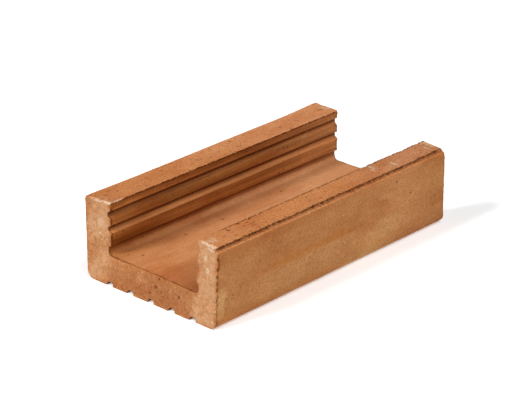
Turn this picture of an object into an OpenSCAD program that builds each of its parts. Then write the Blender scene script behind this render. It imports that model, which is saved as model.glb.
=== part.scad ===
// A U-shaped clay channel brick, pressed out as one bar and cut to length.
// It lies on its underside with the channel open upwards: X runs along the brick,
// Y across it and Z up, and the origin is on the underside, below the middle.
// Its walls lean outward a little, and grooves along their inner faces and along
// the underside give concrete and mortar a grip.

/* [Body] */
// Length between the two cut ends
brick_length = 240; // [120:1:400]
// Width across the underside, to its corners before they are rounded
base_width = 120; // [112:1:170]
// Height from the underside to the tops of the walls
brick_height = 60; // [58:1:90]
// How far each wall leans outward on its way from the underside to its top
wall_splay = 1.6; // [0:0.1:4]
// Radius of the two long corners of the underside
base_corner_radius = 6; // [2:0.5:8]

/* [Channel] */
// Thickness of each wall at the ribs of its inner face
wall_thickness = 20.4; // [16:0.2:26]
// Thickness of the floor under the channel
floor_thickness = 20.4; // [16:0.2:24]
// Radius where the channel's floor turns up into a wall
floor_fillet = 3.6; // [1:0.2:4]

/* [Keying grooves of the inner walls] */
// Number of round grooves along each inner wall
wall_groove_count = 2; // [1:1:2]
// Distance of the upper groove's middle below the top of the wall
wall_groove_drop = 8.5; // [6:0.1:9]
// Distance between the middles of two grooves
wall_groove_pitch = 10.8; // [8:0.1:11]
// Radius of a groove's round bottom
wall_groove_radius = 3.4; // [2.6:0.1:4]
// Depth of a groove behind the ribs
wall_groove_depth = 2.2; // [1:0.1:2.6]
// Height of the groove at the foot of the wall, from the channel's floor to its lip
foot_groove_height = 8.7; // [7:0.1:10]
// Depth of the groove at the foot of the wall, behind the ribs
foot_groove_depth = 2.3; // [0.5:0.1:2.8]

/* [Grooves of the underside] */
// Number of half-round grooves along the underside
base_groove_count = 5; // [1:1:5]
// Distance between the middles of two underside grooves
base_groove_pitch = 19.4; // [12:0.1:20]
// Radius of an underside groove
base_groove_radius = 3; // [1:0.1:4]

/* [Top edges] */
// Radius of the outer top edge of the far wall, on the +Y side
far_edge_radius = 2; // [1:0.5:6]
// How far the near wall's top edge lies inside its outer face, on the -Y side
lip_setback = 2; // [0:0.1:2.4]
// Height of the plain lip above the score of the near wall
score_lip = 0.8; // [0.4:0.1:2]
// Depth of the score from the wall's outer face
score_depth = 3; // [2.6:0.1:4]
// Height of the score's undercut upper flank
score_upper_flank = 0.8; // [0.5:0.1:3]
// Height of the score's sloping lower flank
score_lower_flank = 1.7; // [1:0.1:5]
// Radius of the shoulder where the score runs out into the outer face
score_shoulder_radius = 1; // [0.5:0.1:2]

/* [Hidden] */
// Fineness of the round outlines
$fn = 96;
// How far a cutting shape reaches past the face that it cuts
overcut = 1;
// Half of the underside's width
half_base = base_width / 2;
// Direction up a leaning wall on the +Y side, as a unit vector
up_wall = [wall_splay, brick_height] / norm([wall_splay, brick_height]);
// Direction across the brick, towards its middle plane
inward = [-1, 0];
// Heights of the score's lip, root and shoulder above the underside
score_top = brick_height - score_lip;
score_root = score_top - score_upper_flank;
score_foot = score_root - score_lower_flank;

// Distances from the middle plane at a height: a wall's outer face,
// the ribs of its inner face, and the bottom of the groove at its foot
function outer_face(z) = half_base + wall_splay * z / brick_height;
function rib_face(z) = outer_face(z) - wall_thickness;
function foot_face(z) = rib_face(z) + foot_groove_depth;

// What rounding takes off a corner: the tip between its two edges and the arc that
// touches both. along_a and along_b are unit vectors along the edges, off the corner.
module corner_tip(corner, along_a, along_b, radius) {
    half_angle = acos(along_a * along_b) / 2;
    reach = radius / tan(half_angle);
    touch_a = corner + reach * along_a;
    touch_b = corner + reach * along_b;
    middle = (along_a + along_b) / norm(along_a + along_b);
    arc_centre = corner + radius / sin(half_angle) * middle;
    difference() {
        polygon([
            arc_centre,
            touch_a,
            touch_a - overcut * along_b,
            corner - overcut * (along_a + along_b),
            touch_b - overcut * along_a,
            touch_b,
        ]);
        translate(arc_centre) circle(radius);
    }
}

// The V-shaped score under the set-back top edge of a wall, with a rounded shoulder below it
module edge_score() {
    lip = outer_face(brick_height) - lip_setback;
    root = [outer_face(score_root) - score_depth, score_root];
    shoulder = [outer_face(score_foot), score_foot];
    clear = outer_face(brick_height) + overcut;
    polygon([
        [lip, brick_height + overcut],
        [lip, score_top],
        root,
        shoulder,
        [clear, score_foot],
        [clear, brick_height + overcut],
    ]);
    corner_tip(shoulder, (root - shoulder) / norm(root - shoulder), -up_wall, score_shoulder_radius);
}

// The groove at the foot of a wall, from the middle plane outward, with its filleted floor
module foot_groove() {
    lip_height = floor_thickness + foot_groove_height;
    flank_foot = lip_height - foot_groove_depth;
    corner = [foot_face(floor_thickness), floor_thickness];
    difference() {
        polygon([
            [-overcut, floor_thickness],
            corner,
            [foot_face(flank_foot), flank_foot],
            [rib_face(lip_height), lip_height],
            [-overcut, lip_height],
        ]);
        corner_tip(corner, inward, up_wall, floor_fillet);
    }
}

// One round groove along an inner wall, its middle at the given height
module wall_groove(height) {
    translate([rib_face(height) + wall_groove_depth - wall_groove_radius, height])
        circle(wall_groove_radius);
}

// The open channel between the walls, with the grooves that key into them
module channel() {
    throat = floor_thickness + floor_fillet;
    mouth = brick_height + overcut;
    polygon([
        [-rib_face(throat), throat],
        [rib_face(throat), throat],
        [rib_face(mouth), mouth],
        [-rib_face(mouth), mouth],
    ]);
    for (side = [0, 1]) mirror([side, 0]) {
        foot_groove();
        for (i = [0 : wall_groove_count - 1])
            wall_groove(brick_height - wall_groove_drop - i * wall_groove_pitch);
    }
}

// The half-round grooves along the underside
module base_grooves() {
    first = -(base_groove_count - 1) / 2 * base_groove_pitch;
    for (i = [0 : base_groove_count - 1])
        translate([first + i * base_groove_pitch, 0]) circle(base_groove_radius);
}

// The outside of the section: leaning walls, round lower corners and two unlike top edges
module outline() {
    top_corner = [outer_face(brick_height), brick_height];
    difference() {
        polygon([
            [-half_base, 0],
            [half_base, 0],
            top_corner,
            [-top_corner[0], top_corner[1]],
        ]);
        for (side = [0, 1]) mirror([side, 0])
            corner_tip([half_base, 0], inward, up_wall, base_corner_radius);
        corner_tip(top_corner, inward, -up_wall, far_edge_radius);
        mirror([1, 0]) edge_score();
    }
}

// The brick's section across its length
module section() {
    difference() {
        outline();
        channel();
        base_grooves();
    }
}

// The whole brick, one fired piece
module brick() {
    color("#bf8150")
        rotate([90, 0, 90])
            linear_extrude(brick_length, center = true)
                section();
}

brick();
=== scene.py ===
"""The looks of a clay channel brick: its worn body, its fired finish and a plain studio."""

import logging
import math
from collections.abc import Iterable
from dataclasses import dataclass, field
from enum import Enum
from typing import Any

import bmesh
import bpy
import numpy as np
from mathutils import Matrix, Vector, noise
from mathutils.kdtree import KDTree


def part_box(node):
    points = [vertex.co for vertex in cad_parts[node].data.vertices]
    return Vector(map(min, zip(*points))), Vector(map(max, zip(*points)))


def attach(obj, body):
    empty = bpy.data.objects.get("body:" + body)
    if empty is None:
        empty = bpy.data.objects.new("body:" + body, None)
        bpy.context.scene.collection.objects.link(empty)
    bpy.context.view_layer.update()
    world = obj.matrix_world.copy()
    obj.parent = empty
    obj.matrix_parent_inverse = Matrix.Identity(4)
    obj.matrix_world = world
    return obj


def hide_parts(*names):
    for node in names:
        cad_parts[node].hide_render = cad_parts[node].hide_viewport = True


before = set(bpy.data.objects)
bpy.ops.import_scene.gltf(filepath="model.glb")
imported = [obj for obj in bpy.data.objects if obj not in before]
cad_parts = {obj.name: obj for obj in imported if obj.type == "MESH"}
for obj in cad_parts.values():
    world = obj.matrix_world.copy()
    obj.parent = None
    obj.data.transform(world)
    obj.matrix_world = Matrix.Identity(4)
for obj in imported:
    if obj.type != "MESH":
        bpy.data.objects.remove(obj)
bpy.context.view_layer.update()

LOG = logging.getLogger("clay_brick")
# One millimetre in the frame's metres
MM = 0.001
# Width of the photograph in pixels
PHOTO_WIDTH = 516
# The frame's axes, by the way they run on the brick
ALONG, ACROSS, UP = range(3)
# Course through the noise that stands for the brick's length, slanted so that tears come unevenly
SLANT = np.array((1.0, 0.37, 0.23))
# How far one seed lies from the next in the noise
SEED_SHIFT = np.array((7.31, 3.17, 5.53))
# Name of the colour attribute that holds the zones' colours, with their painted light and shade
ZONE_COLOUR = "zone_colour"
WHITE = (1.0, 1.0, 1.0, 1.0)

Colour = tuple[float, float, float]
Point = tuple[float, float, float]


class Mark(Enum):
    """Names of the point attributes that tell the finish what each spot of the surface is."""

    CUT = "wire_cut"
    BREAK = "fresh_break"
    CHALK = "chalk_bloom"
    # Pits, whose insides are painted with shade
    HOLLOW = "hollow"
    # Sooty dirt, and painted shade in tears, grooves, the score's root and under the ends' dragged rims
    SOOT = "soot_and_painted_shade"
    COARSE = "coarse_grain"
    DRAG = "drag_lines"
    SAND = "sandy_skin"


class Zone(Enum):
    """The zones of different colours, each as linear red, green and blue; some are painted light or shade,
    as noted beside them.
    """

    OUTER = (0.405, 0.172, 0.058)
    UNDER = (0.44, 0.175, 0.062)
    INNER = (0.36, 0.125, 0.029)
    # Painted light: the up-facing lower flanks of the inner walls' grooves
    LIT_LEDGE = (0.52, 0.200, 0.066)
    FLOOR = (0.515, 0.213, 0.081)
    FADED_FLOOR = (0.518, 0.233, 0.1)
    TOP = (0.515, 0.2, 0.071)
    # The far wall's top, paler towards the right
    PALE_FAR_TOP = (0.58, 0.250, 0.107)
    GREYED_TOP = (0.475, 0.200, 0.090)
    # Painted highlight on the ridge below the near wall's score
    LIT_RIDGE = (0.54, 0.210, 0.075)
    BAND = (0.37, 0.140, 0.042)
    END_WALL = (0.435, 0.205, 0.088)
    END_FLOOR = (0.345, 0.133, 0.047)
    END_EDGE = (0.405, 0.160, 0.053)
    # Painted shade low on the inner walls at the left end
    SHADED_LEFT_WALL = (0.24, 0.070, 0.010)
    # Painted shade on the floor by the far wall's foot, at the left
    SHADED_FOOT = (0.435, 0.165, 0.053)
    # Painted shade on the floor by the near wall, at the left end
    SHADED_NEAR_FLOOR = (0.485, 0.168, 0.056)
    FADED_FACE = (0.44, 0.188, 0.067)
    # Painted shade inside the inner walls' grooves
    SHADED_GROOVE = (0.32, 0.118, 0.035)
    # Painted light on the inner walls' top rib, lifting its shade
    LIT_RIB = (0.44, 0.150, 0.036)
    # Painted light on the far inner wall, towards the right
    LIT_FAR_WALL = (0.46, 0.180, 0.058)
    # Painted light lifting the far wall's shadow on the floor, towards the right
    LIT_FAR_FOOT = (0.62, 0.285, 0.122)
    PALE_FACE = (0.55, 0.3, 0.12)
    # A long stained band, and painted shade along the near face's rounded foot
    STAIN_AND_SHADE = (0.40, 0.145, 0.034)
    # Painted shade on the score's lower flank, under the lip
    SHADED_FLANK = (0.36, 0.135, 0.045)


# A zone, with how much of its colour each point takes
Layer = tuple[Zone, np.ndarray]


class Side(Enum):
    """The side of a long top edge that its dark marks, sooty dirt and painted shade, lie on."""

    TOP = "top"
    FACE = "face"


class End(Enum):
    """The two cut ends, by the sign of their place along the brick."""

    LEFT = -1
    RIGHT = 1


def clay_noise(points: np.ndarray, grain: float | Point, seed: float) -> np.ndarray:
    """Smooth noise between about -1 and 1 at each point.

    Args:
        points: N by 3 places in millimetres.
        grain: Size of the noise's lumps in millimetres, one for all axes or one for each.
        seed: Number that picks a different noise.

    Returns:
        N noise values.
    """
    shifted = points / np.asarray(grain, float) + seed * SEED_SHIFT
    return np.array([noise.noise(Vector(p)) for p in shifted])


def ease(values: np.ndarray) -> np.ndarray:
    """A smooth step of values clipped to the range 0 to 1."""
    t = np.clip(values, 0.0, 1.0)
    return t * t * (3.0 - 2.0 * t)


def rising(values: np.ndarray, start: float | np.ndarray, length: float) -> np.ndarray:
    """A smooth step that is 0 up to its start and 1 from a length further on."""
    return ease((values - start) / length)


def falling(values: np.ndarray, end: float | np.ndarray, length: float | np.ndarray) -> np.ndarray:
    """A smooth step that is 1 up to a length before its end and 0 from the end on."""
    return ease((end - values) / length)


def hump(values: np.ndarray, middle: float, half: float) -> np.ndarray:
    """A smooth hump that is 1 at its middle and 0 from half of its width on."""
    return ease(1.0 - np.abs(values - middle) / half)


@dataclass
class Relief:
    """The brick's surface while it is worn: points in millimetres, their normals and their marks."""

    points: np.ndarray
    normals: np.ndarray
    marks: dict[Mark, np.ndarray] = field(default_factory=dict)

    # Part of a normal along an axis where a point starts to face that way, and how much more is full
    FACING = (0.1875, 0.625)

    def __post_init__(self) -> None:
        """Starts every mark at zero and keeps the places before any wear."""
        self.plain = self.points.copy()
        for mark in Mark:
            self.marks[mark] = np.zeros(len(self.points))

    def off_edge(self, edge: tuple[float, float]) -> np.ndarray:
        """Distances of N unworn points from an edge that runs along the brick, in millimetres."""
        return np.hypot(self.plain[:, ACROSS] - edge[0], self.plain[:, UP] - edge[1])

    def facing(self, axis: int, sign: int) -> np.ndarray:
        """How squarely N points face along an axis, or against it, from 0 to 1."""
        return rising(sign * self.normals[:, axis], *self.FACING)

    def shift(self, axis: int, amounts: np.ndarray) -> None:
        """Moves the points along an axis by N amounts in millimetres."""
        self.points[:, axis] += amounts

    def push_out(self, amounts: np.ndarray) -> None:
        """Moves the points outward along their normals by N amounts in millimetres."""
        self.points += self.normals * amounts[:, None]

    def raise_mark(self, mark: Mark, amounts: np.ndarray) -> None:
        """Raises a mark to the given amounts where they are larger."""
        self.marks[mark] = np.maximum(self.marks[mark], np.clip(amounts, 0.0, 1.0))


@dataclass(frozen=True)
class Section:
    """Sizes of the brick's section that the wear follows, in millimetres."""

    half_length: float
    height: float
    top_outer: float
    wall_thickness: float
    floor_thickness: float
    wall_splay: float

    @property
    def top_inner(self) -> float:
        """Distance of a wall's inner top edge from the middle plane."""
        return self.top_outer - self.wall_thickness

    def rib_face(self, heights: np.ndarray | float) -> np.ndarray | float:
        """Distances of the inner walls' ribs from the middle plane at the given heights."""
        return self.top_inner - self.wall_splay * (1.0 - heights / self.height)

    def outer_face(self, heights: np.ndarray | float) -> np.ndarray | float:
        """Distances of the walls' outer faces from the middle plane at the given heights."""
        return self.rib_face(heights) + self.wall_thickness

    def behind_ribs(self, plain: np.ndarray) -> np.ndarray:
        """How far N points lie behind the ribs of the inner walls, in millimetres."""
        return np.abs(plain[:, ACROSS]) - self.rib_face(plain[:, UP])

    def behind_faces(self, plain: np.ndarray) -> np.ndarray:
        """How far N points lie behind the walls' outer faces, in millimetres."""
        return self.outer_face(plain[:, UP]) - np.abs(plain[:, ACROSS])

    def off_channel(self, plain: np.ndarray) -> np.ndarray:
        """How far N points lie outside the channel, in millimetres."""
        return np.maximum(self.behind_ribs(plain), self.floor_thickness - plain[:, UP])


@dataclass(frozen=True)
class TornEdge:
    """A long edge whose lip tore as the clay left its die, running along the brick.

    Attributes:
        at: Place of the edge across the brick and its height, in millimetres.
        pull: Direction across the brick and up in which the edge is torn back.
        depth: How far the deep tears go back, in millimetres.
        reach: Distance from the edge over which a tear fades out, in millimetres.
        grain: Usual length of a tear along the brick, in millimetres.
        soot_and_shade: How dark the torn spots are painted, for sooty dirt and the shade in the tears, from
            0 to 1.
        seed: Number that picks the tears.
        side: The side of the edge that the dark paint lies on.
        line: How far the dark paint joins up between the torn spots, from 0 to 1.
        line_width: Width of the dark line of sooty dirt and painted shade, in millimetres.
        clean: Length at the left end that is not painted dark, in millimetres.
    """

    at: tuple[float, float]
    pull: tuple[float, float]
    depth: float
    reach: float
    grain: float
    soot_and_shade: float
    seed: float
    side: Side = Side.FACE
    line: float = 0.0
    line_width: float = 0.9
    clean: float = 0.0

    # Length of the long tears in grains, and how much the long and the short ones count
    LONG_TEAR, LONG_SHARE, SHORT_SHARE = 3.3, 0.6, 0.8
    # The usual and the deepest tear as shares of the depth, and the power by which tears fade
    USUAL, DEEPEST, FADE_POWER = 0.3, 1.3, 1.3
    # Upward part of a normal where the edge's top begins, and how much more makes it whole
    TOP_SLOPE = (0.3, 0.5)
    # Tear that starts to be painted dark, how much more is black, and the dark line's end in its widths
    SOOTY_TEAR, BLACK_TEAR, LINE_END = 0.25, 0.625, 1.5
    # Length over which the dark paint begins, in millimetres
    DARK_START = 6.0

    def wear(self, relief: Relief) -> None:
        """Tears the edge back unevenly along its length, and paints the tears dark, for sooty dirt and the
        shade in them.

        Args:
            relief: The surface that is worn.
        """
        away = relief.off_edge(self.at)
        near = np.flatnonzero(away < self.reach)
        run = relief.plain[near, :1] * SLANT
        coarse = clay_noise(run, self.grain * self.LONG_TEAR, self.seed)
        fine = clay_noise(run, self.grain, self.seed + 0.5)
        torn = self.USUAL + self.LONG_SHARE * coarse + self.SHORT_SHARE * fine
        torn = np.clip(torn, 0.0, self.DEEPEST)
        amount = self.depth * torn * (1.0 - away[near] / self.reach) ** self.FADE_POWER
        relief.points[near, ACROSS] += self.pull[0] * amount
        relief.points[near, UP] += self.pull[1] * amount
        on_top = rising(relief.normals[near, UP], *self.TOP_SLOPE)
        on_side = on_top if self.side is Side.TOP else 1.0 - on_top
        dark = np.zeros(len(away))
        dark[near] = on_side * rising(torn, self.SOOTY_TEAR - self.line * self.BLACK_TEAR, self.BLACK_TEAR)
        dark *= falling(away, self.LINE_END * self.line_width, self.line_width)
        from_left = relief.plain[:, ALONG] - relief.plain[:, ALONG].min()
        dark *= rising(from_left, self.clean - self.DARK_START, self.DARK_START)
        # Painted shade and sooty dirt in the tears
        relief.raise_mark(Mark.SOOT, self.soot_and_shade * dark)


@dataclass(frozen=True)
class ProudEdge:
    """A long edge that the die left sharper than drawn, and that stands out most at the ends.

    Attributes:
        at: Place of the edge across the brick and its height, in millimetres.
        push: How far it stands out across the brick and up, in millimetres.
        reach: Distance from the edge over which this fades out, in millimetres.
        flare: How much further it stands out at the left and at the right end, as a share.
        flare_length: Length of each flare, in millimetres.
    """

    at: tuple[float, float]
    push: tuple[float, float]
    reach: float
    flare: tuple[float, float]
    flare_length: float

    def wear(self, relief: Relief, section: Section) -> None:
        """Moves the points round the edge outward.

        Args:
            relief: The surface that is worn.
            section: The brick's section.
        """
        share = np.ones(len(relief.plain))
        for end, flare in zip(End, self.flare):
            inward = section.half_length - end.value * relief.plain[:, ALONG]
            share += flare * falling(inward, self.flare_length, self.flare_length)
        share *= falling(relief.off_edge(self.at), self.reach, self.reach)
        relief.shift(ACROSS, self.push[0] * share)
        relief.shift(UP, self.push[1] * share)


@dataclass(frozen=True)
class Chip:
    """A flake broken off an edge or corner, leaving a rough flat break.

    Attributes:
        centre: Middle of the break on the unbroken edge, in millimetres.
        facing: Direction in which the break faces.
        spread: Half sizes of the region that the flake took in, in millimetres.
        bite: How deep below the edge the break lies, in millimetres.
        pale: How chalky the break is, from 0, plain clay, to 1, white.
        seed: Number that picks the break's roughness.
    """

    centre: Point
    facing: Point
    spread: Point
    bite: float
    pale: float
    seed: float

    # Sizes of the break's fine and coarse lumps in millimetres, and their heights in bites
    FINE_LUMP, FINE_HEIGHT = 1.8, 0.3
    COARSE_LUMP, COARSE_HEIGHT = 4.0, 0.45
    # Share of the region over which the break comes down, and how far above the edge it starts
    BORDER, BORDER_RISE = 0.4, 1.5
    # The most that is taken, and the depth at which the break is fully pale, in bites
    DEEPEST, PALE_DEPTH = 2.5, 0.35

    def wear(self, relief: Relief) -> None:
        """Flattens what stands above the break, and marks it.

        Args:
            relief: The surface that is worn.
        """
        facing = np.array(Vector(self.facing).normalized())
        from_centre = relief.points - np.array(self.centre)
        inside = 1.0 - np.linalg.norm(from_centre / np.array(self.spread), axis=1)
        near = np.flatnonzero(inside > 0.0)
        spots = relief.points[near]
        rough = 1.0 + self.FINE_HEIGHT * clay_noise(spots, self.FINE_LUMP, self.seed)
        rough += self.COARSE_HEIGHT * clay_noise(spots, self.COARSE_LUMP, self.seed + 0.3)
        fade = rising(inside[near], 0.0, self.BORDER)
        level = self.bite * (rough * fade - self.BORDER_RISE * (1.0 - fade))
        taken = np.clip(from_centre[near] @ facing + level, 0.0, self.DEEPEST * self.bite)
        relief.points[near] -= np.outer(taken, facing)
        amounts = np.zeros(len(relief.points))
        amounts[near] = self.pale * rising(taken, 0.0, self.PALE_DEPTH * self.bite)
        relief.raise_mark(Mark.BREAK, amounts)


@dataclass(frozen=True)
class RoundedCorner:
    """A top corner of a wall's end that wore round, as seen across the brick.

    Attributes:
        end: The end that it is on.
        side: Sign of the wall's place across the brick.
        inset: How far the end lies inside the full length there, in millimetres.
        along: Half size of the round along the brick at the wall's outer face, in millimetres.
        down: Half size of the round down from the top at the wall's outer face.
        inner_share: Size of the round at the wall's inner face, as a share of that.
    """

    end: End
    side: int
    inset: float
    along: float
    down: float
    inner_share: float

    def wear(self, relief: Relief, section: Section) -> None:
        """Draws the points near the corner in to its round.

        Args:
            relief: The surface that is worn.
            section: The brick's section.
        """
        outward = self.side * relief.points[:, ACROSS]
        through = np.clip((outward - section.top_inner) / section.wall_thickness, 0.0, 1.0)
        size = self.inner_share + (1.0 - self.inner_share) * through
        tip = section.half_length - self.inset
        along = (self.end.value * relief.points[:, ALONG] - tip) / (self.along * size) + 1.0
        up = (relief.points[:, UP] - section.height) / (self.down * size) + 1.0
        reach = np.hypot(along, up)
        beyond = (along > 0.0) * (up > 0.0) * (reach > 1.0) * (outward > 0.0)
        shrink = beyond * (1.0 - 1.0 / np.maximum(reach, 1.0))
        relief.shift(ALONG, -self.end.value * along * shrink * self.along * size)
        relief.shift(UP, -up * shrink * self.down * size)


@dataclass(frozen=True)
class SoftRib:
    """A rib's edge along the inner walls, which moved a little while the clay was soft.

    Attributes:
        height: Height of the edge, in millimetres.
        reach: Distance up and down over which the move fades out.
        drop: How far the edge sagged, in millimetres.
        swell: How far the edge swelled into the channel, in millimetres.
        walls: The walls that it runs along, 1 for the far and -1 for the near one.
    """

    height: float
    reach: float
    drop: float = 0.0
    swell: float = 0.0
    walls: tuple[int, ...] = (-1, 1)

    # Depth behind the ribs that moves with them, as a share of the wall's thickness
    SKIN = 0.25

    def wear(self, relief: Relief, section: Section) -> None:
        """Moves the points of the inner walls round the edge.

        Args:
            relief: The surface that is worn.
            section: The brick's section.
        """
        plain = relief.plain
        side = np.sign(plain[:, ACROSS])
        inside = section.behind_ribs(plain) < self.SKIN * section.wall_thickness
        share = inside * np.isin(side, self.walls) * hump(plain[:, UP], self.height, self.reach)
        relief.shift(ACROSS, -side * self.swell * share)
        relief.shift(UP, -self.drop * share)


@dataclass(frozen=True)
class Pit:
    """A small hole where a grain fell out.

    Attributes:
        centre: Place of the hole on the surface, in millimetres.
        radius: Radius of its mouth, in millimetres.
        depth: Depth of the hole, in millimetres.
        dark: How dark the painted shade inside it is, from 0 to 1.
    """

    centre: Point
    radius: float
    depth: float
    dark: float = 1.0

    # Where the hole begins, and how far its side slopes inward, as shares of the radius
    BRINK, SLOPE = 1.1, 2.0 / 3.0

    def wear(self, relief: Relief) -> None:
        """Sinks the surface round the centre, and marks the hollow for its painted shade.

        Args:
            relief: The surface that is worn.
        """
        away = np.linalg.norm(relief.plain - np.array(self.centre), axis=1)
        sink = falling(away, self.BRINK * self.radius, self.SLOPE * self.radius)
        relief.push_out(-self.depth * sink)
        relief.raise_mark(Mark.HOLLOW, self.dark * sink)


@dataclass(frozen=True)
class Spot:
    """A spot that is marked and keeps its shape: a pale bloom, a bare scratch or a dark dash of sooty dirt
    and painted shade.

    Attributes:
        centre: Middle of the spot on the surface, in millimetres.
        spread: Half sizes of the spot, in millimetres.
        strength: How strongly it is marked, from 0 to 1.
        mark: What the spot is.
    """

    centre: Point
    spread: Point
    strength: float
    mark: Mark = Mark.CHALK

    def lay(self, relief: Relief) -> None:
        """Marks the spot, fading towards its border."""
        away = np.linalg.norm((relief.plain - np.array(self.centre)) / np.array(self.spread), axis=1)
        relief.raise_mark(self.mark, self.strength * falling(away, 1.0, 0.5))


@dataclass(frozen=True)
class EndCut:
    """A wire-cut end: the slack wire leaves it hollow round the channel, and its rim is ragged.

    Attributes:
        end: Which end it is.
        dish: How far the cut lies back at the near wall's inner face, at the middle of the
            floor and at the far wall's inner face, in millimetres.
        seed: Number that picks the grain.
        fade: Distance along the brick over which the faces beside the cut follow it.
        grit: Height of the coarse grain on the cut, in millimetres.
        rim: Height of the ragged rim where the wire dragged clay over the edges.
        rim_width: Width of that rim, in millimetres.
        soot_and_shade: How dark the line along the rim is painted, for the shade under the dragged clay and
            its dark skin, from 0 to 1.
        lean: How far the near wall's end leans, out at its foot and in at its top, in millimetres.
    """

    end: End
    dish: Point
    seed: float
    fade: float = 16.0
    grit: float = 0.24
    rim: float = 0.3
    rim_width: float = 2.4
    soot_and_shade: float = 0.9
    lean: tuple[float, float] = (0.0, 0.0)

    # Sizes of the cut's coarse and fine grain in millimetres, and how much each counts
    COARSE_GRAIN, COARSE_SHARE = 3.4, 0.65
    FINE_GRAIN, FINE_SHARE = 1.5, 0.5
    # Size of the rim's rags in millimetres, and its usual height as a share of the full one
    RAG, USUAL_RAG = (6.0, 3.2, 3.2), 0.25
    # Dark line along the rim, painted shade under the dragged clay and its dark skin: its end, how far the
    # rags move that, and how long it fades, in rim widths
    LINE_END, LINE_BREAKS, LINE_FADE = 0.9 / 1.7, 1.5 / 1.7, 1.0 / 1.7
    # Line in the channel: its width, what the far side adds, and its end and breaks in widths
    THIN_WIDTH, FAR_WIDTH, THIN_END, THIN_BREAKS = 1.5, 0.7, 1.3, 0.5
    # How dark that line is on the near side, and how far across the brick it becomes whole
    NEAR_SOOT, FAR_SIDE = 0.8, 30.0
    # How far the channel's grooves reach past the inner top edges, and down past the floor
    GROOVE_ROOM, FLOOR_ROOM = 4.0, 0.5
    # Height above the floor where the walls begin, and depth below the tops that has no line
    WALL_FOOT, BARE_TOP = 3.0, 4.0
    # How dark the line is outside the inner top edges, as a share
    OUTER_DARK = 0.7

    def wear(self, relief: Relief, section: Section) -> None:
        """Hollows the end, roughens it and its rim, marks the cut, and paints the shade under its rim.

        Args:
            relief: The surface that is worn.
            section: The brick's section.
        """
        plain = relief.plain
        outward = self.end.value
        inward = section.half_length - outward * plain[:, ALONG]
        facing = relief.facing(ALONG, outward)
        follow = np.clip(1.0 - inward / self.fade, 0.0, 1.0)
        rise = plain[:, UP] / section.height
        lean = self.lean[0] * (1.0 - rise) - self.lean[1] * rise
        lean *= rising(-plain[:, ACROSS], 0.0, section.top_inner)
        relief.shift(ALONG, outward * follow * (lean - self._set_back(plain, section)))
        near = np.flatnonzero(inward < self.rim_width)
        grain = self.COARSE_SHARE * clay_noise(plain[near], self.COARSE_GRAIN, self.seed)
        grain += self.FINE_SHARE * clay_noise(plain[near], self.FINE_GRAIN, self.seed + 0.4)
        relief.points[near, ALONG] += outward * self.grit * grain * facing[near]
        rags = np.zeros(len(plain))
        rags[near] = self.USUAL_RAG + clay_noise(plain[near], self.RAG, self.seed + 0.7)
        beside = 1.0 - facing
        relief.push_out(self.rim * rags * beside * falling(inward, self.rim_width, self.rim_width))
        relief.raise_mark(Mark.CUT, facing)
        # The line along the rim paints the shade under the dragged clay, with its dark skin
        line = self._shaded_rim_line(plain, section, inward, rags)
        relief.raise_mark(Mark.SOOT, self.soot_and_shade * beside * line)

    def _set_back(self, plain: np.ndarray, section: Section) -> np.ndarray:
        """How far the dished cut lies back.

        Args:
            plain: N by 3 unworn places in millimetres.
            section: The brick's section.

        Returns:
            N distances in millimetres.
        """
        outward = np.clip(section.behind_ribs(plain) / section.wall_thickness, 0.0, 1.0)
        downward = np.clip(1.0 - plain[:, UP] / section.floor_thickness, 0.0, 1.0)
        from_channel = np.clip(np.hypot(outward, downward), 0.0, 1.0)
        places = (-section.top_inner, 0.0, section.top_inner)
        return np.interp(plain[:, ACROSS], places, self.dish) * (1.0 - from_channel)

    def _shaded_rim_line(
        self, plain: np.ndarray, section: Section, inward: np.ndarray, rags: np.ndarray
    ) -> np.ndarray:
        """The dark line along the rim, painted shade under the dragged clay with its dark skin, broken
        outside and thin on the channel's walls.

        Args:
            plain: N by 3 unworn places in millimetres.
            section: The brick's section.
            inward: N distances from the end, in millimetres.
            rags: N heights of the rim, as shares of the full height.

        Returns:
            N amounts of painted shade and dark skin, from 0 to 1.
        """
        across = np.abs(plain[:, ACROSS])
        over_floor = plain[:, UP] - section.floor_thickness
        in_channel = (across < section.top_inner + self.GROOVE_ROOM) * (over_floor > -self.FLOOR_ROOM)
        on_walls = in_channel * (over_floor > self.WALL_FOOT)
        broken = falling(inward / self.rim_width, self.LINE_END + self.LINE_BREAKS * rags, self.LINE_FADE)
        far = rising(plain[:, ACROSS], 0.0, self.FAR_SIDE)
        width = self.THIN_WIDTH + self.FAR_WIDTH * far
        thin = in_channel * falling(inward, width * (self.THIN_END + self.THIN_BREAKS * rags), width)
        thin *= self.NEAR_SOOT + (1.0 - self.NEAR_SOOT) * far
        line = np.maximum(broken * (1.0 - on_walls), thin)
        line *= plain[:, UP] < section.height - self.BARE_TOP
        return line * np.where(across < section.top_inner, 1.0, self.OUTER_DARK)


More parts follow.
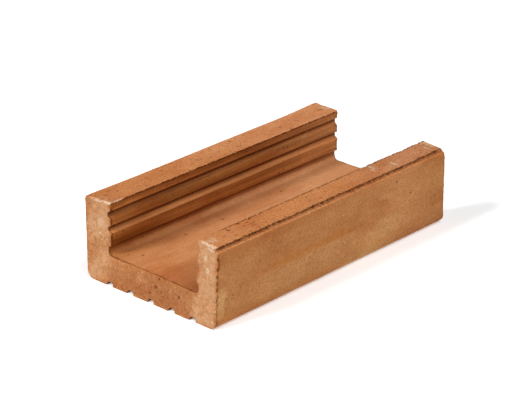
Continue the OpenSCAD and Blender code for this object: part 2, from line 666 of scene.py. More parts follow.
@dataclass
class ColourZones:
    """The zones of the worn surface and their colours: the clay's own, and painted light and shade.

    Places and sizes are millimetres on the unworn brick.

    Attributes:
        relief: The worn surface, with its cut ends marked.
        section: The brick's section.
        groove_room: How far the inner walls' grooves reach behind the ribs.
        top_room: Depth below the tops that belongs to them where it faces up.
        wander_size: Size of the noise by which borders wander.
    """

    relief: Relief
    section: Section
    groove_room: float = 3.2
    top_room: float = 3.6
    wander_size: float = 9.0

    def __post_init__(self) -> None:
        """Works out where each point lies, and the faces that the zones lie on."""
        plain = self.relief.plain
        self.along, self.aside, self.height = plain.T
        self.across = np.abs(self.aside)
        self.from_top = self.section.height - self.height
        self.over_floor = self.height - self.section.floor_thickness
        self.behind_rib = self.section.behind_ribs(plain)
        self.from_face = self.section.behind_faces(plain)
        self.far = self.aside > 0.0
        self.near = self.aside < 0.0
        self.cut = self.relief.marks[Mark.CUT]
        self.wander = clay_noise(plain, self.wander_size, 7.0)
        self.in_channel = (self.behind_rib < self.groove_room) * (self.over_floor > -0.5)
        self.on_floor = self.in_channel * falling(self.over_floor, 6.0, 4.0)
        self.on_top = self.relief.facing(UP, 1) * (self.from_top < self.top_room)
        self.on_near_face = self.near * (self.behind_rib > self.groove_room)

    def mark_texture(self) -> None:
        """Marks where the surface is coarse, where it is sandy and where it has drag lines."""
        rough = np.maximum(self.on_top, self.cut)
        self.relief.raise_mark(Mark.COARSE, rough)
        self.relief.raise_mark(Mark.SAND, 1.0 - self.in_channel * (1.0 - self.cut) * (1.0 - self.on_top))
        outer_drag, floor_rubbed = 0.15, 0.96
        drawn = outer_drag + (1.0 - outer_drag) * self.in_channel * (1.0 - floor_rubbed * self.on_floor)
        self.relief.raise_mark(Mark.DRAG, (1.0 - rough) * drawn)

    def colours(self) -> np.ndarray:
        """Blends the zones' colours over the surface, each over those before it.

        Returns:
            N by 4 colours, one for each point.
        """
        layers = (
            (Zone.UNDER, self.relief.facing(UP, -1)),
            *self._walls(),
            *self._floor(),
            *self._near_face(),
            *self._tops(),
            *self._near_edge(),
            *self._ends(),
        )
        blended = np.tile((*Zone.OUTER.value, 1.0), (len(self.along), 1))
        for zone, share in layers:
            blended += np.asarray(share, float)[:, None] * ((*zone.value, 1.0) - blended)
        return blended

    def _walls(self) -> tuple[Layer, ...]:
        """The inner walls: darker overall, with painted light on the top rib, the up-facing ledges and the
        far wall to the right, and painted shade in the grooves and low down at the left end.

        Returns:
            The layers, in the order in which they are laid.
        """
        # Painted light on the top rib
        upper_rib = (self.height > 54.0) * falling(self.height, 58.0, 2.5)
        # Painted shade in the grooves, behind the ribs
        groove = (self.over_floor > 14.0) * rising(self.behind_rib, 0.5, 0.8)
        # Painted shade low on the walls at the left end
        left_wall_shade = falling(self.height, 37.0, 5.0) * falling(self.along, -45.0, 40.0)
        # Painted light on the up-facing groove flanks
        ledge = (self.height < 44.0) * ease(1.8 * self.relief.normals[:, UP] - 0.2)
        return (
            (Zone.INNER, self.in_channel),
            (Zone.LIT_RIB, self.in_channel * upper_rib * falling(self.behind_rib, 0.5, 0.5)),
            (Zone.SHADED_GROOVE, self.in_channel * groove),
            (Zone.SHADED_LEFT_WALL, self.in_channel * left_wall_shade),
            # Painted light on the far wall towards the right
            (Zone.LIT_FAR_WALL, self.in_channel * self.far * rising(self.along, 20.0, 90.0)),
            (Zone.LIT_LEDGE, self.in_channel * ledge),
        )

    def _floor(self) -> tuple[Layer, ...]:
        """The channel's floor, paler to the right, with painted light lifting the far wall's shadow to the
        right, and painted shade by the far wall's foot to the left and by the near wall at the left end.

        Returns:
            The layers, in the order in which they are laid.
        """
        # Painted light lifting the far wall's shadow on the floor at the right
        lit_far_foot = rising(self.along, -60.0, 120.0) * rising(self.aside, 21.0, 8.0)
        # Painted shade by the far wall's foot at the left
        foot = falling(self.along, -40.0, 50.0) * rising(self.aside, 24.0, 12.0)
        # Painted shade by the near wall at the left end, darker and redder
        red = falling(self.along, -82.0, 26.0) * falling(self.aside, 16.0, 10.0)
        return (
            (Zone.FLOOR, self.on_floor),
            (Zone.FADED_FLOOR, self.on_floor * rising(self.along, -70.0, 160.0)),
            (Zone.LIT_FAR_FOOT, self.on_floor * lit_far_foot),
            (Zone.SHADED_FOOT, self.on_floor * foot),
            (Zone.SHADED_NEAR_FLOOR, self.on_floor * red),
        )

    def _near_face(self) -> tuple[Layer, ...]:
        """The near wall's outer face: faded to the right, pale low down, with a long stained band at
        mid-height and painted shade along its rounded foot at the left.

        Returns:
            The layers, in the order in which they are laid.
        """
        ragged = self.height - 3.0 * self.wander
        pale = 0.27 * rising(self.along, -95.0, 30.0) * falling(ragged, 30.0, 9.0)
        pale += 0.62 * hump(self.along, 42.0, 42.0) * falling(ragged, 28.0, 9.0)
        pale *= falling(self.along, 85.0, 25.0)
        front = falling(self.along - 3.0 * self.wander, -109.0, 5.0)
        pale += 0.7 * front * falling(np.abs(self.height - 18.0), 15.6, 13.0)
        stain_and_shade = 0.8 * hump(self.height, 29.5, 4.0) * rising(self.along, -80.0, 25.0)
        stain_and_shade *= falling(self.along, 40.0, 30.0)
        # Painted shade where the face rounds down into its foot, at the left
        stain_and_shade += 0.5 * falling(self.height, 9.5, 4.0) * falling(self.along, 20.0, 40.0)
        faded = rising(self.along, 20.0, 50.0) * falling(self.along, 110.0, 35.0)
        return (
            (Zone.FADED_FACE, self.on_near_face * faded),
            (Zone.PALE_FACE, self.on_near_face * pale),
            (Zone.STAIN_AND_SHADE, self.on_near_face * stain_and_shade),
        )

    def _tops(self) -> tuple[Layer, ...]:
        """The tops of the walls, both paler or greyer to the right.

        Returns:
            The layers, in the order in which they are laid.
        """
        return (
            (Zone.TOP, self.on_top),
            (Zone.PALE_FAR_TOP, self.on_top * self.far * rising(self.along, -55.0, 130.0)),
            (Zone.GREYED_TOP, self.on_top * self.near * rising(self.along, 0.0, 90.0)),
        )

    def _near_edge(self) -> tuple[Layer, ...]:
        """The score of the near wall: a painted highlight on the ridge below it, painted shade on its lower
        flank, and a dark band.

        Returns:
            The layers, in the order in which they are laid.
        """
        below = self.on_near_face * rising(self.from_top, 3.6, 0.8)
        band = falling(self.along, 30.0, 60.0) * falling(self.from_top, 11.0, 6.0)
        left_band = falling(self.along, -68.0, 20.0) * falling(self.from_top, 20.0, 10.0)
        # The score's strip: its ridge is painted lit, its part behind the face painted shaded
        ridge = self.on_near_face * rising(self.from_top, 1.9, 0.6) * falling(self.from_top, 4.0, 0.8)
        return (
            (Zone.BAND, below * band),
            (Zone.BAND, 0.8 * below * left_band),
            (Zone.LIT_RIDGE, ridge),
            (Zone.SHADED_FLANK, ridge * rising(self.from_face, 0.6, 0.8)),
        )

    def _ends(self) -> tuple[Layer, ...]:
        """The cut ends: pale walls, a dark floor and dark edges.

        Returns:
            The layers, in the order in which they are laid.
        """
        off_channel = np.maximum(self.behind_rib, -self.over_floor)
        to_edge = np.minimum.reduce((self.from_face, self.from_top, self.height, off_channel))
        low = falling(self.across - 5.0 * self.wander, self.section.top_inner + 2.0, 9.0)
        return (
            (Zone.END_WALL, self.cut),
            (Zone.END_FLOOR, self.cut * low * (self.over_floor < 1.0)),
            (Zone.END_EDGE, self.cut * falling(to_edge - 1.8 * self.wander, 2.7, 3.0)),
        )


@dataclass
class ChannelBrick:
    """The brick, one fired piece that stands for the solid of the same name.

    Sizes are in millimetres and angles in degrees. The overall sizes come from the solid's own box.

    Attributes:
        node: The solid that the brick stands for.
        body: The body that it rides on.
        slot: Name of the material slot that it fills; not used.
        base_half: Half of the underside's width, to its corners before they are rounded.
        wall_thickness: Thickness of each wall at its ribs.
        floor_thickness: Thickness of the floor.
        wall_splay: How far each wall leans outward up to its top.
        lip_setback: How far the near wall's top edge lies behind its outer face.
        score_depth: Depth of the score under that edge.
        edge_round: Size of the rounding of sharp edges.
        sharp_angle: Angle over which an edge counts as sharp.
        weld_gap: Distance within which the solid's corners are one.
        flat_angle: Angle under which two of its triangles are one face.
        end_zone: Length at each end that is divided finely.
        end_step: Length of the mesh's edges there.
        middle_step: Length of the mesh's edges between the ends.
        torn_step: Length of the mesh's edges along the torn edges.
        fine_step: Distance of the cuts beside the walls' top edges.
        rib_step: Distance of the level cuts up the inner walls.
        plain_step: Distance of the other cuts across and up.
        fine_band: Distance from the walls' top edges that counts as beside them.
        seam_gap: Distance within which a cut meets an old corner.
        pit_room: Reach of the fine mesh round a pit, in its radii.
        pit_edges: Lengths over which mesh edges round pits and strokes are halved, in two rounds.
        waves: Height, size and seed of the smooth faces' waves.
        drag_lines: Height, size and seed of their drag lines.
        lumps: Height, size and seed of their lumps.
    """

    node: str = "brick"
    body: str = "root"
    slot: str = "fired_clay"
    base_half: float = 60.0
    wall_thickness: float = 20.4
    floor_thickness: float = 20.4
    wall_splay: float = 1.6
    lip_setback: float = 2.0
    score_depth: float = 3.0
    edge_round: float = 0.45
    sharp_angle: float = 34.0
    weld_gap: float = 0.001
    flat_angle: float = 0.3
    end_zone: float = 12.0
    end_step: float = 0.65
    middle_step: float = 2.0
    torn_step: float = 0.6
    fine_step: float = 0.7
    rib_step: float = 1.4
    plain_step: float = 2.4
    fine_band: float = 3.0
    seam_gap: float = 0.12
    pit_room: float = 1.7
    pit_edges: tuple[float, ...] = (1.2, 0.5)
    waves: tuple[float, Point, float] = (0.12, (60.0, 24.0, 24.0), 4.0)
    drag_lines: tuple[float, Point, float] = (0.05, (70.0, 2.4, 2.4), 5.0)
    lumps: tuple[float, float, float] = (0.07, 4.5, 6.0)

    def __post_init__(self) -> None:
        """Reads the overall sizes off the solid's box, and places the wear."""
        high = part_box(self.node)[1]
        self.section = Section(
            half_length=high.x / MM,
            height=high.z / MM,
            top_outer=self.base_half + self.wall_splay,
            wall_thickness=self.wall_thickness,
            floor_thickness=self.floor_thickness,
            wall_splay=self.wall_splay,
        )
        self.torn_edges = self._torn_edges()
        self.chips = self._chips()
        self.pits = self._pits()
        self.blooms = self._blooms()
        self.strokes = self._strokes()
        self.end_cuts = (
            EndCut(End.LEFT, dish=(2.2, 3.9, 3.4), seed=2.0),
            EndCut(End.RIGHT, dish=(0.0, 0.0, 0.0), seed=3.0, rim=0.5, soot_and_shade=0.25, lean=(1.9, 2.2)),
        )
        self.ribs = (
            SoftRib(self.section.height, reach=3.4, swell=0.8, walls=(1,)),
            SoftRib(54.7, reach=2.4, drop=0.8),
            SoftRib(43.9, reach=2.4, drop=0.8),
            SoftRib(37.6, reach=2.2, swell=0.6, walls=(1,)),
            SoftRib(37.2, reach=3.0, swell=-1.0, walls=(-1,)),
            SoftRib(32.0, reach=3.2, swell=1.1, walls=(-1,)),
            SoftRib(29.1, reach=2.4, drop=0.7),
        )
        edge = (self.section.top_outer - 0.6, self.section.height - 0.6)
        self.proud_edges = (
            ProudEdge(edge, push=(0.55, 0.5), reach=2.1, flare=(0.45, 1.2), flare_length=45.0),
        )
        self.corners = (
            RoundedCorner(End.RIGHT, side=-1, inset=2.0, along=3.4, down=10.0, inner_share=0.2),
        )

    def _torn_edges(self) -> tuple[TornEdge, ...]:
        """The four long top edges, each torn in its own way.

        Returns:
            The edges, from the near wall's outer one to the far wall's.
        """
        inner = self.section.top_inner
        outer = self.section.top_outer
        lip = outer - self.lip_setback
        top = self.section.height
        return (
            TornEdge(
                (-lip, top - 0.3), (1.0, 0.0), 1.5, 2.0, grain=1.4, soot_and_shade=0.6, seed=11.0,
                line_width=0.8,
            ),
            TornEdge(
                (-inner, top), (-0.7, -0.7), 0.8, 2.2, grain=2.2, soot_and_shade=1.0, seed=12.0,
                side=Side.TOP, line=0.6, line_width=1.8, clean=26.0,
            ),
            TornEdge(
                (inner, top), (1.0, -0.1), 0.9, 2.2, grain=1.5, soot_and_shade=1.0, seed=13.0,
                line=0.7, line_width=1.3,
            ),
            TornEdge((outer - 0.6, top - 0.6), (-0.6, -0.6), 0.1, 2.2, grain=3.0, soot_and_shade=0.2, seed=14.0),
        )

    def _chips(self) -> tuple[Chip, ...]:
        """The flakes that broke off the ends and corners.

        Returns:
            The chips.
        """
        inner = self.section.top_inner
        outer = self.section.top_outer
        top = self.section.height
        left = -self.section.half_length
        return (
            Chip((left + 2.3, inner + 7.0, top), (-0.6, 0.0, 0.8), (2.8, 11.0, 3.0), 0.6, 0.8, seed=21.0),
            Chip((left + 9.0, inner, top), (0.0, -0.6, 0.8), (9.0, 1.6, 2.0), 0.35, 0.7, seed=22.0),
            Chip((left + 3.6, inner + 2.8, top), (-0.6, -0.2, 0.8), (3.2, 4.2, 2.6), 0.7, 1.0, seed=26.0),
            Chip((left, outer, top), (-0.6, 0.5, 0.5), (3.5, 3.5, 4.0), 0.8, 0.1, seed=28.0),
            Chip((left + 1.4, -inner - 9.5, top), (-0.7, 0.0, 0.7), (4.0, 12.0, 4.0), 0.9, 0.95, seed=23.0),
            Chip(
                (left + 0.6, -outer + 7.0, top - 3.0), (-1.0, 0.0, 0.2), (2.5, 2.2, 1.8),
                bite=0.4, pale=0.9, seed=25.0,
            ),
            Chip((-left, inner, top), (0.5, -0.7, 0.5), (3.0, 3.0, 4.0), 0.7, 0.0, seed=27.0),
            Chip((-left, outer + 0.6, top + 0.6), (0.6, 0.5, 0.5), (4.0, 4.0, 4.0), 0.9, 0.1, seed=29.0),
            Chip((left + 1.0, inner - 0.4, 46.3), (-0.8, -0.6, 0.2), (4.0, 3.0, 3.0), 0.7, 0.0, seed=31.0),
            Chip((left + 1.0, inner - 0.9, 34.5), (-0.8, -0.6, 0.4), (4.5, 3.5, 4.0), 0.8, 0.0, seed=32.0),
        )

    def _pits(self) -> tuple[Pit, ...]:
        """The larger holes, on each face that the photo shows.

        Returns:
            The pits.
        """
        inner = self.section.top_inner
        top = self.section.height
        floor = self.floor_thickness
        left = -self.section.half_length
        on_top = (
            (-92.8, -inner - 4.6), (-80.8, -inner - 1.6), (-70.1, -inner - 1.4), (-59.8, -inner - 0.6),
            (20.3, 57.5), (-51.6, 55.8), (-15.8, inner + 1.0), (-37.9, inner + 0.6), (69.4, inner + 1.4),
        )
        on_floor = ((-106.3, 34.5), (-99.6, 26.8), (-18.1, 28.1), (47.1, 31.4), (-54.3, 29.2))
        on_end = ((-4.7, 18.6), (-2.7, 12.4), (1.8, 7.1), (-24.9, 12.4), (-8.5, 10.3))
        on_near_face = (
            (-103.5, 21.1), (-103.4, 18.5), (-96.3, 24.5), (-110.7, 20.3), (64.2, 50.0), (80.7, 36.6),
        )
        pits = [Pit((x, y, top), radius=1.8 if y < 0.0 else 1.4, depth=1.5) for x, y in on_top]
        pits += [Pit((x, y, floor), radius=1.1, depth=0.5) for x, y in on_floor]
        pits += [Pit((left, y, z), radius=1.0, depth=0.8) for y, z in on_end]
        pits.append(Pit((left + 5.0, inner + 1.2, 52.2), radius=2.2, depth=0.9, dark=0.5))
        pits.append(Pit((left + 7.5, inner + 1.0, 41.6), radius=1.6, depth=1.2, dark=0.9))
        for x, z in on_near_face:
            face = -self.section.outer_face(z)
            pits.append(Pit((x, face, z), radius=0.9, depth=0.5, dark=0.5 if x < 0.0 else 0.9))
        return tuple(pits)

    def _blooms(self) -> tuple[Spot, ...]:
        """The cloudy pale spots on the tops.

        Returns:
            The spots.
        """
        inner = self.section.top_inner
        top = self.section.height
        end = self.section.half_length
        return (
            Spot((7.0 - end, -inner - 7.0, top), (6.0, 5.0, 2.0), 0.6),
            Spot((end - 3.0, -inner - 8.0, top), (5.0, 10.0, 2.0), 0.95),
            Spot((end - 4.0, inner + 9.0, top), (5.0, 7.0, 2.0), 0.6),
            Spot((5.0 - end, inner + 9.0, top), (6.0, 9.0, 2.0), 0.35),
            Spot((72.0, -inner - 10.0, top), (10.0, 7.0, 2.0), 0.25),
            Spot((53.0, -inner - 6.0, top), (7.0, 7.0, 2.0), 0.25),
        )

    def _strokes(self) -> tuple[Spot, ...]:
        """Dark dashes of sooty dirt and painted shade up the near face's front edge, bare smears on the
        left end and top scratches.

        Returns:
            The spots, which the mesh is made fine for.
        """
        middle = -self.section.top_inner - 9.0
        top = self.section.height
        end = self.section.half_length
        dashes = []
        for height in (52.5, 45.0, 39.5, 34.5, 30.0, 22.0):
            face = -self.section.outer_face(height)
            # Painted shade under the dragged clay of the front edge, with dark skin
            dashes.append(Spot((0.3 - end, face, height), (1.3, 1.3, 1.9), 0.85, Mark.SOOT))
        return (
            *dashes,
            Spot((-end, -51.7, 41.1), (2.0, 2.2, 3.0), 0.8, Mark.BREAK),
            Spot((-end, -49.4, 49.7), (2.0, 2.0, 3.0), 0.55, Mark.BREAK),
            Spot((-end, 48.4, 44.3), (2.0, 4.0, 4.5), 0.4, Mark.BREAK),
            Spot((-end, 49.2, 36.1), (2.0, 0.9, 0.9), 1.0, Mark.BREAK),
            Spot((end - 11.0, middle - 2.0, top), (1.0, 5.5, 2.0), 0.9, Mark.BREAK),
            Spot((end - 1.2, middle, top), (1.2, 9.0, 2.0), 0.9, Mark.BREAK),
            Spot((69.5, middle - 3.5, top), (1.0, 5.5, 2.0), 1.0, Mark.BREAK),
            Spot((53.5, middle + 4.0, top), (1.1, 4.5, 2.0), 1.0, Mark.BREAK),
            Spot((51.0, middle + 0.5, top), (0.9, 3.0, 2.0), 0.8, Mark.BREAK),
        )

    def build(self) -> bpy.types.Object:
        """Makes the worn brick.

        Returns:
            The brick's object, with its marks, riding on the frame.
        """
        mesh = bpy.data.meshes.new("clay_brick")
        shape = bmesh.new()
        shape.from_mesh(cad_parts[self.node].data)
        self._clean(shape)
        self._round_edges(shape)
        self._grid(shape)
        shape.to_mesh(mesh)
        shape.free()
        self._wear(mesh)
        piece = bpy.data.objects.new("clay_brick", mesh)
        bpy.context.scene.collection.objects.link(piece)
        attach(piece, self.body)
        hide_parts(self.node)
        return piece

    def dress(self, piece: bpy.types.Object, finish: "FiredClay") -> None:
        """Gives the brick its finish."""
        piece.data.materials.append(finish.material())

    def _clean(self, shape: bmesh.types.BMesh) -> None:
        """Merges the solid's loose triangles into whole flat faces.

        Args:
            shape: The mesh that is worked on.
        """
        bmesh.ops.remove_doubles(shape, verts=shape.verts, dist=self.weld_gap * MM)
        limit = math.radians(self.flat_angle)
        bmesh.ops.dissolve_limit(shape, angle_limit=limit, verts=shape.verts, edges=shape.edges)

    def _round_edges(self, shape: bmesh.types.BMesh) -> None:
        """Rounds every sharp edge a little, as fired clay has none.

        Args:
            shape: The mesh that is worked on.
        """
        limit = math.radians(self.sharp_angle)
        sharp = [e for e in shape.edges if e.is_manifold and e.calc_face_angle() > limit]
        bmesh.ops.bevel(
            shape,
            geom=sharp,
            offset=self.edge_round * MM,
            offset_type="OFFSET",
            segments=2,
            profile=0.5,
            affect="EDGES",
            clamp_overlap=True,
            material=-1,
        )

    def _cut(self, shape: bmesh.types.BMesh, axis: int, places: Iterable[float]) -> None:
        """Cuts the mesh by planes across an axis.

        Args:
            shape: The mesh that is cut.
            axis: The axis that the planes stand across.
            places: Where the planes stand along that axis, in millimetres.
        """
        normal = Vector((0.0, 0.0, 0.0))
        normal[axis] = 1.0
        for place in places:
            bmesh.ops.bisect_plane(
                shape,
                geom=[*shape.verts, *shape.edges, *shape.faces],
                dist=self.seam_gap * MM,
                plane_co=normal * (place * MM),
                plane_no=normal,
            )

    def _cuts_across(self) -> list[float]:
        """Places of the cuts across the brick, closest beside the walls' top edges.

        Returns:
            Places in millimetres.
        """
        edges = (self.section.top_inner, self.section.top_outer)
        places: list[float] = []
        place = -self.section.top_outer
        while place < self.section.top_outer:
            to_edge = min(abs(abs(place) - edge) for edge in edges)
            place += self.fine_step if to_edge < self.fine_band else self.plain_step
            places.append(place)
        return places

    def _cuts_upward(self) -> list[float]:
        """Heights of the level cuts, closer up the inner walls and closest at their tops.

        Returns:
            Heights in millimetres.
        """
        places: list[float] = []
        place = 0.0
        while place < self.section.height:
            if place > self.section.height - 2.0 * self.fine_band:
                place += self.fine_step
            elif place > self.floor_thickness - self.fine_band:
                place += self.rib_step
            else:
                place += self.plain_step
            places.append(place)
        return places

    def _grid(self, shape: bmesh.types.BMesh) -> None:
        """Divides the faces finely enough to be worn, most finely near the torn edges and the ends.

        Args:
            shape: The mesh that is worked on.
        """
        self._cut(shape, ACROSS, self._cuts_across())
        self._cut(shape, UP, self._cuts_upward())
        middle = self.section.half_length - self.end_zone
        self._cut(shape, ALONG, (-middle, middle))
        bmesh.ops.remove_doubles(shape, verts=shape.verts, dist=self.seam_gap * MM)
        shortest, longest = 0.5 * self.end_zone, 1.5 * self.end_zone
        self._divide(shape, self._lengthwise(shape, shortest, longest), self.end_step)
        self._divide(shape, self._lengthwise(shape, longest, math.inf), self.middle_step)
        whole_steps = self._lengthwise(shape, 0.7 * self.middle_step, math.inf)
        self._divide(shape, [e for e in whole_steps if self._is_torn(e)], self.torn_step)
        for limit in self.pit_edges:
            self._refine_pits(shape, limit)

    def _lengthwise(self, shape: bmesh.types.BMesh, over: float, under: float) -> list[bmesh.types.BMEdge]:
        """The mesh edges that run along the brick and are of a certain length.

        Args:
            shape: The mesh that is searched.
            over: Length that they are longer than, in millimetres.
            under: Length that they are shorter than, in millimetres.

        Returns:
            The edges.
        """
        straight = 0.99
        found = []
        for edge in shape.edges:
            run = edge.verts[1].co - edge.verts[0].co
            if abs(run.x) > straight * run.length and over * MM < run.length < under * MM:
                found.append(edge)
        return found

    def _is_torn(self, edge: bmesh.types.BMEdge) -> bool:
        """Whether a mesh edge lies where one of the brick's edges is torn."""
        middle = (edge.verts[0].co + edge.verts[1].co) / (2.0 * MM)
        return any(math.dist((middle.y, middle.z), torn.at) < torn.reach for torn in self.torn_edges)

    def _divide(self, shape: bmesh.types.BMesh, edges: list[bmesh.types.BMEdge], step: float) -> None:
        """Divides mesh edges of one length.

        Args:
            shape: The mesh that they belong to.
            edges: The edges.
            step: About how long the pieces are, in millimetres.
        """
        longest = max(edge.calc_length() for edge in edges) / MM
        cuts = max(1, round(longest / step) - 1)
        bmesh.ops.subdivide_edges(shape, edges=edges, cuts=cuts, use_grid_fill=True)

    def _refine_pits(self, shape: bmesh.types.BMesh, longest: float) -> None:
        """Halves the long mesh edges round the pits and strokes.

        Args:
            shape: The mesh that is divided.
            longest: Length over which an edge is halved, in millimetres.
        """
        spots = [(pit.centre, self.pit_room * pit.radius) for pit in self.pits]
        spots += [(stroke.centre, max(stroke.spread)) for stroke in self.strokes]
        tree = KDTree(len(spots))
        for index, (centre, _) in enumerate(spots):
            tree.insert(Vector(centre) * MM, index)
        tree.balance()
        edges = []
        for edge in shape.edges:
            _, index, away = tree.find((edge.verts[0].co + edge.verts[1].co) / 2.0)
            if away < spots[index][1] * MM and edge.calc_length() > longest * MM:
                edges.append(edge)
        bmesh.ops.subdivide_edges(shape, edges=edges, cuts=1, use_grid_fill=True)

    def _wear(self, mesh: bpy.types.Mesh) -> None:
        """Gives the plain mesh its relief, and stores its marks and colours.

        Args:
            mesh: The mesh that is worn.
        """
        places = np.empty(len(mesh.vertices) * 3)
        mesh.vertices.foreach_get("co", places)
        normals = np.array([v.normal for v in mesh.vertices])
        relief = Relief(places.reshape(-1, 3) / MM, normals)
        self._roughen(relief)
        for wear in (*self.ribs, *self.end_cuts, *self.proud_edges, *self.corners):
            wear.wear(relief, self.section)
        for wear in (*self.torn_edges, *self.pits, *self.chips):
            wear.wear(relief)
        self._work_score(relief)
        self._paint_groove_shade(relief)
        self._chalk_ends(relief)
        for spot in (*self.blooms, *self.strokes):
            spot.lay(relief)
        zones = ColourZones(relief, self.section)
        zones.mark_texture()
        # The brick lies on its underside, so nothing reaches below it
        relief.points[:, UP] = np.maximum(relief.points[:, UP], 0.0)
        mesh.vertices.foreach_set("co", (relief.points * MM).ravel())
        for mark, amounts in relief.marks.items():
            mesh.attributes.new(mark.value, "FLOAT", "POINT").data.foreach_set("value", amounts)
        stored = mesh.attributes.new(ZONE_COLOUR, "FLOAT_COLOR", "POINT")
        stored.data.foreach_set("color", zones.colours().ravel())
        mesh.shade_smooth()
        mesh.update()

    def _roughen(self, relief: Relief) -> None:
        """Gives the die-smoothed faces slight waves, drag lines and lumps, inward on the underside.

        Args:
            relief: The surface that is worn.
        """
        amounts = np.zeros(len(relief.plain))
        for height, size, seed in (self.waves, self.drag_lines, self.lumps):
            amounts += height * clay_noise(relief.plain, size, seed)
        faces_down = relief.normals[:, UP] < -0.5
        relief.push_out(np.where(faces_down, -np.abs(amounts), amounts))

    def _work_score(self, relief: Relief) -> None:
        """Smears the near wall's score shut at the right end, and paints its root dark, for dirt and the
        shade under the lip.

        Args:
            relief: The surface that is worn.
        """
        plain = relief.plain
        end = self.section.half_length
        behind = self.section.outer_face(plain[:, UP]) + plain[:, ACROSS]
        from_top = self.section.height - plain[:, UP]
        face, root, lip, shoulder = 0.2, self.score_depth + 0.4, 0.4, 4.2
        in_score = (behind > face) * (behind < root) * (from_top > lip) * (from_top < shoulder)
        shut_length, opening_length = 2.0, 9.0
        open_share = rising(end - plain[:, ALONG], shut_length, opening_length)
        filled = np.maximum(behind - self.lip_setback, 0.0) * in_score * (1.0 - open_share)
        relief.shift(ACROSS, -filled)
        run = plain[:, :1] * SLANT
        short_rag, long_rag, long_share = 1.4, 6.0, 0.7
        ragged = clay_noise(run, short_rag, 15.0) + long_share * clay_noise(run, long_rag, 16.0)
        bare_length, soot_start = 0.4, 1.6
        off_end = rising(plain[:, ALONG] + end, bare_length, soot_start)
        # The root is painted dark: the shade under the overhanging lip, and dirt
        dark_depth, dark_fade, uneven_depth = 1.4, 1.4, 0.7
        deep = rising(behind + uneven_depth * ragged, dark_depth, dark_fade)
        usual_dark, uneven_dark = 0.84, 0.4
        soot_and_shade = usual_dark + uneven_dark * ragged
        relief.raise_mark(Mark.SOOT, soot_and_shade * in_score * open_share * off_end * deep)

    def _chalk_ends(self, relief: Relief) -> None:
        """Marks the pale bloom of the cut ends, faint on the floor and in blotches on the walls.

        Args:
            relief: The surface that is worn.
        """
        plain = relief.plain
        to_edge = np.minimum(self.section.behind_faces(plain), self.section.off_channel(plain))
        wall_start, wall_change = self.section.top_inner - 6.0, 8.0
        on_wall = rising(np.abs(plain[:, ACROSS]), wall_start, wall_change)
        blotch_size, usual_blotch, blotch_contrast = 13.0, 0.6, 1.2
        blotches = ease(usual_blotch + blotch_contrast * clay_noise(plain, blotch_size, 8.0))
        margin, faint, strong = 4.0, 0.15, 0.6
        on_end = relief.marks[Mark.CUT] * rising(to_edge, 0.0, margin)
        relief.raise_mark(Mark.CHALK, on_end * (faint + strong * on_wall * blotches))

    def _paint_groove_shade(self, relief: Relief) -> None:
        """Marks painted shade in the sheltered parts of the inner walls' grooves, and in the underside's.

        Args:
            relief: The surface that is worn.
        """
        height = relief.plain[:, UP]
        behind = self.section.behind_ribs(relief.plain)
        plain_top, deepest = self.section.height - 3.0, 2.8
        in_groove = (height > self.floor_thickness) * (height < plain_top) * (behind < deepest)
        # Painted shade on the deep, downward-facing groove flanks, and inside the underside's grooves
        open_slope, slope_change, dark_depth, dark_fade = 0.4, 0.5, 1.2, 0.8
        sheltered = falling(relief.normals[:, UP], open_slope, slope_change)
        sheltered *= rising(behind, dark_depth, dark_fade)
        foot_end, wall_shade, low_wall_shade = self.floor_thickness + 10.0, 0.75, 0.4
        walls = np.where(height > foot_end, wall_shade, low_wall_shade) * in_groove * sheltered
        lowest, highest, widest, base_shade = 0.35, 3.4, 43.0, 0.95
        base = (height > lowest) * (height < highest) * (np.abs(relief.plain[:, ACROSS]) < widest)
        uncut = 1.0 - relief.marks[Mark.CUT]
        relief.raise_mark(Mark.SOOT, np.maximum(walls, base_shade * base) * uncut)


class Signal:
    """A number or colour on its way through a finish's nodes, with arithmetic as Math nodes."""

    def __init__(self, sheet: "NodeSheet", socket: bpy.types.NodeSocket) -> None:
        """Keeps the socket that carries the value."""
        self.sheet = sheet
        self.socket = socket

    def _math(self, operation: str, first: "Signal | float", second: "Signal | float") -> "Signal":
        """A Math node of two values, as a signal."""
        return self.sheet.node("ShaderNodeMath", {"operation": operation}, {0: first, 1: second})

    def __add__(self, other: "Signal | float") -> "Signal":
        """This value plus another."""
        return self._math("ADD", self, other)

    def __sub__(self, other: "Signal | float") -> "Signal":
        """This value less another."""
        return self._math("SUBTRACT", self, other)

    def __rsub__(self, other: float) -> "Signal":
        """A number less this value."""
        return self._math("SUBTRACT", other, self)

    def __mul__(self, other: "Signal | float") -> "Signal":
        """This value times another."""
        return self._math("MULTIPLY", self, other)

    def __truediv__(self, other: "Signal | float") -> "Signal":
        """This value divided by another."""
        return self._math("DIVIDE", self, other)

    def __gt__(self, other: "Signal | float") -> "Signal":
        """1 where this value is the larger, else 0."""
        return self._math("GREATER_THAN", self, other)

    def larger(self, other: "Signal | float") -> "Signal":
        """The larger of this value and another."""
        return self._math("MAXIMUM", self, other)

    __radd__ = __add__
    __rmul__ = __mul__


